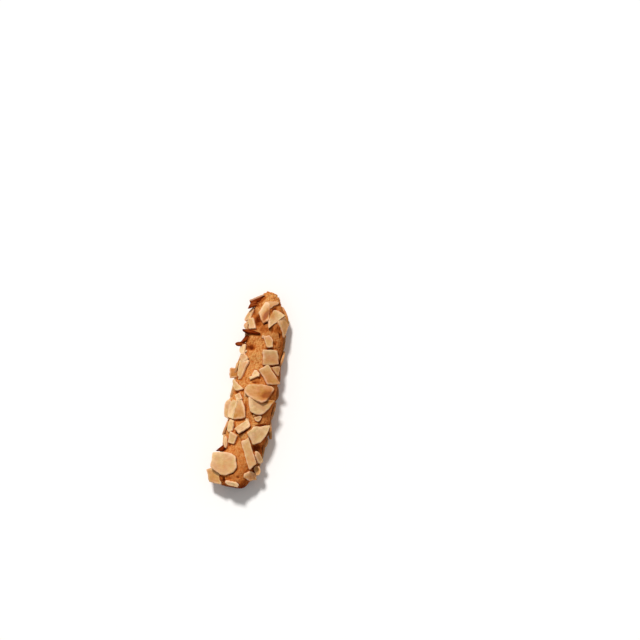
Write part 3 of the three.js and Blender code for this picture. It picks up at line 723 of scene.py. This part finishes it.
# A flake's points from above, ring by ring, with depth, share of the rim's colour and share of the way out
def flakeRings(rim, deep):
    count = len(rim)
    middle = rim.mean(0)
    reach = np.linalg.norm(rim - middle, axis=1)[:, None]
    outward = (rim - middle) / reach
    upper = almond["rings"]
    lower = [ring[:3] + (deep - ring[3],) + ring[4:] for ring in reversed(upper[-almond["lowerRings"]:])]
    plan, depths, pales, shares = [middle[None]], [0], [0], [0]
    for share, inset, most, depth, pale in upper + lower:
        plan.append(middle + outward * (reach * share - np.minimum(inset, most * reach)))
        depths += [depth] * count
        pales += [pale] * count
        shares += [share] * count
    plan = np.vstack(plan + [middle[None]])
    return plan, np.array(depths + [deep]), np.array(pales + [0]), np.array(shares + [0])


def flakeFaces(start, count, bands):  # a fan, bands between the rings, and a fan below
    faces = []
    last = start + 1 + (bands - 1) * count
    for i in range(count):
        j = (i + 1) % count
        faces.append((start, start + 1 + i, start + 1 + j))
        for inner in range(start + 1, last, count):
            outer = inner + count
            faces.append((inner + i, outer + i, outer + j, inner + j))
        faces.append((last + count, last + j, last + i))
    return faces


def flakeForm(flake):  # its points, and their toast, rim and place in the grain
    deep = flake.get("deep", almond["thickness"])
    plan, depths, pales, shares = flakeRings(unevenOutline(flake["outline"], flake.get("breaks", [])), deep)
    long, wide = plan @ facingWay(flake["turn"]), plan @ facingWay(flake["turn"] + 90)
    u, v = 2 * long / flake["size"][0], 2 * wide / flake["size"][1]
    curls = [almond["curl"] * u * u, almond["curl"] * v * v, almond["twist"] * u * v]
    bend = rng.uniform(-1, 1, 3) @ curls * min(1, flake["size"][1] / almond["fullCurl"])
    fadeWay, fade = flake.get("fade", (rng.uniform(0, 360), almond["fade"]))
    toasted = flake.get("toast", almond["toast"]) + almond["heart"] * (0.5 - shares ** 2)
    toasted = toasted + fade * (plan - plan[0]) @ facingWay(fadeWay) * 2 / max(flake["size"])
    # a shaded dent: pressed in, with painted shade from raised toast
    if "shadedDent" in flake:
        spot, halves, way, darker, dent = flake["shadedDent"]
        across = (plan - spot) @ np.stack([facingWay(way), facingWay(way + 90)], 1) / halves
        near = np.exp(-np.sum(across ** 2, 1))
        toasted = toasted + darker * near
        pales = pales * (1 - near)
        bend = bend - dent * near
    if "paleEdge" in flake:  # the pale nut shows beyond this line
        edgeWay, edge = flake["paleEdge"]
        beyond = plan @ facingWay(edgeWay) - edge
        pales = np.maximum(pales, 2 * smoothStep(beyond, -almond["paleEdge"], almond["paleEdge"]))
    xAxis, yAxis, normal = flake["axes"]
    points = flake["face"] + plan[:, :1] * xAxis + plan[:, 1:] * yAxis + (bend - depths)[:, None] * normal
    return points, toasted, pales * flake.get("edge", 1), np.stack([long, wide], 1)


def flakeMesh(name, flakes, material):
    count = almond["rimPoints"]
    bands = len(almond["rings"]) + almond["lowerRings"]
    points, toasts, rims, grains = zip(*[flakeForm(flake) for flake in flakes])
    starts = np.cumsum([0] + [len(part) for part in points]).tolist()
    faces = [face for start in starts[:-1] for face in flakeFaces(start, count, bands)]
    piece = joinedMesh(name, points, faces)
    paintPoints(piece, "toast", np.concatenate(toasts))
    paintPoints(piece, "rim", np.concatenate(rims))
    numbers = np.repeat(np.arange(len(flakes)), np.diff(starts))
    paintPoints(piece, "grain", np.column_stack([np.vstack(grains), grainStep * numbers]) * mm)
    cutAtTray(piece)
    cookiePiece(piece, material)


def toastedAlmond():
    # Almond, sliced and toasted: flat, dull, ivory to tan with faint lengthwise grain, and paler cut edges
    # that are painted highlight
    material, tree, shader = newMaterial("almond_sliced_toasted", {
        "Roughness": 0.62, "Specular IOR Level": 0.3, "Subsurface Weight": 0.2,
        "Subsurface Radius": (1, 0.55, 0.3), "Subsurface Scale": 0.9 * mm})
    place = addNode(tree, "TexCoord").outputs["Object"]
    toast = addNode(tree, "Attribute", {"attribute_name": "toast"}).outputs["Fac"]
    rim = addNode(tree, "Attribute", {"attribute_name": "rim"}).outputs["Fac"]
    grain = addNode(tree, "Attribute", {"attribute_name": "grain"}).outputs["Vector"]
    mottle = addNode(tree, "TexNoise", {"Scale": pitch(1.9), "Detail": 5}, {"Vector": place})
    shift = addNode(tree, "Math", {"operation": "MULTIPLY_ADD", 1: 0.66, 2: -0.33},
                    {0: mottle.outputs["Fac"]})
    level = addNode(tree, "Math", {"operation": "ADD"}, {0: toast, 1: shift.outputs[0]})
    # the darkest toast is partly scorching and partly painted shade from the shaded dents
    stops = [(0, almond["cream"]), (0.25, almond["tan"]), (0.45, almond["honey"]), (0.75, almond["caramel"]),
             (1, almond["scorchedAndShade"])]
    base = addNode(tree, "ValToRGB", {"stops": stops}, {"Fac": level.outputs[0]})
    stretched = addNode(tree, "Mapping", {"Scale": (0.22, 1, 1)}, {"Vector": grain})
    streaks = addNode(tree, "TexNoise", {"Scale": pitch(0.5), "Detail": 3}, {"Vector": stretched.outputs[0]})
    dim = addNode(tree, "MapRange", {"From Min": 0.3, "From Max": 0.7, "To Min": 0.89, "To Max": 1.05},
                  {"Value": streaks.outputs["Fac"]})
    streaked = addNode(tree, "VectorMath", {"operation": "SCALE"},
                       {0: base.outputs["Color"], "Scale": dim.outputs[0]})
    tints = addNode(tree, "TexNoise", {"Scale": pitch(4.5), "Detail": 2}, {"Vector": place})
    hue = addNode(tree, "MapRange", {"From Min": 0.38, "From Max": 0.62, "To Min": 0.497, "To Max": 0.511},
                  {"Value": tints.outputs["Fac"]})  # pinker to yellower
    tinted = addNode(tree, "HueSaturation", {}, {"Hue": hue.outputs[0], "Color": streaked.outputs[0]})
    patches = addNode(tree, "TexNoise", {"Scale": pitch(2.5), "Detail": 2}, {"Vector": place})
    patchy = addNode(tree, "MapRange", {"From Min": 0.38, "From Max": 0.65, "To Min": 0.1, "To Max": 0.62},
                     {"Value": patches.outputs["Fac"]})
    # painted highlight along the edges, in patches
    paler = addNode(tree, "Math", {"operation": "MULTIPLY"}, {0: rim, 1: patchy.outputs[0]})
    colour = addNode(tree, "Mix", {"data_type": "RGBA", 7: linearColour(almond["rim"])},
                     {0: paler.outputs[0], 6: tinted.outputs[0]})
    tree.links.new(colour.outputs[2], shader.inputs["Base Color"])
    bump = addNode(tree, "Bump", {"Strength": 0.25, "Distance": 0.1 * mm}, {"Height": streaks.outputs["Fac"]})
    tree.links.new(bump.outputs["Normal"], shader.inputs["Normal"])
    return material


def almondSkin():
    # Almond skin, toasted: thin, dry and red-brown, wrinkled lengthwise, with the pale nut at its cut edge
    material, tree, shader = newMaterial("almond_skin_toasted", {
        "Roughness": 0.75, "Specular IOR Level": 0.02})
    grain = addNode(tree, "Attribute", {"attribute_name": "grain"}).outputs["Vector"]
    stretched = addNode(tree, "Mapping", {"Scale": (0.15, 1, 1)}, {"Vector": grain})
    wrinkles = addNode(tree, "TexNoise", {"Scale": pitch(0.6), "Detail": 4}, {"Vector": stretched.outputs[0]})
    toast = addNode(tree, "Attribute", {"attribute_name": "toast"}).outputs["Fac"]
    rubbed = addNode(tree, "Math", {"operation": "MULTIPLY_ADD", 1: 0.8, 2: -0.16}, {0: toast})
    level = addNode(tree, "Math", {"operation": "ADD"}, {0: wrinkles.outputs["Fac"], 1: rubbed.outputs[0]})
    stops = [(0.35, almond["darkSkin"]), (0.55, almond["skin"]), (0.75, almond["paleSkin"]),
             (1, almond["rubbedSkin"])]
    base = addNode(tree, "ValToRGB", {"stops": stops}, {"Fac": level.outputs[0]})
    rim = addNode(tree, "Attribute", {"attribute_name": "rim"}).outputs["Fac"]
    paler = addNode(tree, "MapRange", {"From Min": 1, "From Max": 1.8, "To Max": 0.9}, {"Value": rim})
    colour = addNode(tree, "Mix", {"data_type": "RGBA", 7: linearColour(almond["skinRim"])},
                     {0: paler.outputs[0], 6: base.outputs["Color"]})
    tree.links.new(colour.outputs[2], shader.inputs["Base Color"])
    bump = addNode(tree, "Bump", {"Strength": 0.6, "Distance": 0.2 * mm}, {"Height": wrinkles.outputs["Fac"]})
    tree.links.new(bump.outputs["Normal"], shader.inputs["Normal"])
    return material


placed = [topFlake(flake) for flake in topFlakes]
slices = toastedAlmond()
bare = [flake for flake in placed if "skin" not in flake] + flankFlakes()
flakeMesh("almond_flakes", bare, slices)
flakeMesh("almond_skins", [flake for flake in placed if "skin" in flake], almondSkin())


# Almond nibs and dough crumbs: small lumps, each its own seeded shape
bits = {
    "lumpy": 0.28, "lumps": 4,
    "sunk": 0.3, "crumbSunk": 0.2,  # shares of a nib's height and of a crumb's size
    # nibs take a share of the painted highlight of the flakes' edges
    "nibRim": 0.3,
    # Crumbs: how many, over which part of the half length, how large. The larger ones are at the tip.
    "crumbs": [(320, (-0.97, 0.97), (0.35, 0.8)), (40, (0.93, 0.995), (0.7, 1.5))],
    "crumbAngles": (4, 176), "crumbStretch": (0.7, 1.3),
    "crumbLevel": (0.4, 0.8), "crumbBrown": (0, 0.35),
}
# Nibs: place from above, length and width and height, turn, toast
nibs = [
    ((-6.1, 17.4), (1.8, 1.1, 0.9), 40, 0.1), ((-0.9, 4.7), (2.6, 1.7, 1.2), 10, 0.1),
    ((-9.2, 3.8), (1.4, 1.2, 1), 0, 0.3), ((-6.8, 3.5), (1.4, 1, 0.9), 70, 0.1),
    ((-2.1, -4.1), (3.2, 1.6, 1), 80, 0.4), ((-9.1, -3.1), (2.2, 1.1, 0.9), 80, 0.1),
    ((4.8, -18.7), (1.8, 1.1, 0.8), 20, 0.5), ((1, -16.1), (1.8, 1.1, 0.9), 0, 0.2),
    ((0.9, 34.4), (1.8, 1.1, 0.9), 30, 0.2), ((-9.7, 30.8), (2.6, 1.3, 1), 100, 0.15),
    ((0.9, 26.1), (2, 1.4, 0.9), 60, 0.2), ((3.9, -13.4), (1.6, 1, 0.8), 60, 0.35),
]


def bitsMesh(name, places, material):  # a place is a point, its axes, a size and what to paint
    deselectAll()
    bpy.ops.mesh.primitive_ico_sphere_add(subdivisions=2, radius=0.5)
    ball = bpy.context.object
    shape = readPoints(ball)
    corners = np.array([list(face.vertices) for face in ball.data.polygons])
    bpy.ops.object.delete()
    points, faces, painted = [], [], {}
    for number, (point, axes, size, paint) in enumerate(places):
        waves = rng.normal(size=(3, 3)) * bits["lumps"]
        swell = 1 + bits["lumpy"] * np.sin(shape @ waves + rng.uniform(*anyPhase, 3)).mean(1)
        points.append(point + (shape * swell[:, None] * size) @ axes)
        faces.append(corners + number * len(shape))
        for layer, value in paint.items():
            painted.setdefault(layer, []).append(np.full(len(shape), value))
        painted.setdefault("grain", []).append((shape * size + [0, 0, grainStep * number]) * mm)
    piece = joinedMesh(name, points, np.vstack(faces).tolist())
    for layer, values in painted.items():
        paintPoints(piece, layer, np.concatenate(values))
    cookiePiece(piece, material)


def nibPlace(middle, size, turn, toast):  # on the top
    xAxis, yAxis, normal = slopeAxes(topSlopes(*middle))
    long = unit(xAxis * facingWay(turn)[0] + yAxis * facingWay(turn)[1])
    point = np.array([*middle, topHeight(*middle)]) + normal * (0.5 - bits["sunk"]) * size[2]
    axes = np.array([long, np.cross(normal, long), normal])
    return point, axes, size, {"toast": toast, "rim": bits["nibRim"]}


def crumbPlace(along, around, size):  # on the skin, sunk as the hollows below it and darkened with their painted shade
    point = doughPoint(along, around)
    step = flank["skinStep"]
    inward = np.cross(doughPoint(along, around + step) - point, doughPoint(along + step, around) - point)
    axes = np.linalg.qr(rng.normal(size=(3, 3)))[0]
    sizes = size * rng.uniform(*bits["crumbStretch"], 3)
    # a crumb in a hollow takes the hollow's painted shade
    near = [nearHollow(point[:2], *hollow[:3]) for hollow in hollows]
    deep, share = np.max(np.array(near)[:, None] * [hollow[3:] for hollow in hollows], 0)
    paint = {"crumb": rng.uniform(*bits["crumbLevel"]),
             "browned": max(share, rng.uniform(*bits["crumbBrown"])), "underside": 0,
             "tone": np.interp(along, *np.transpose(dough["tone"]))}
    return point + unit(inward) * (bits["crumbSunk"] * size + deep), axes, sizes, paint


low, high = np.radians(bits["crumbAngles"])
crumbs = []
for count, along, size in bits["crumbs"]:
    crumbs += [crumbPlace(rng.uniform(*along) * halfLength, rng.uniform(low, high), rng.uniform(*size))
               for i in range(count)]
bitsMesh("almond_nibs", [nibPlace(*nib) for nib in nibs], slices)
bitsMesh("dough_crumbs", crumbs, crust)
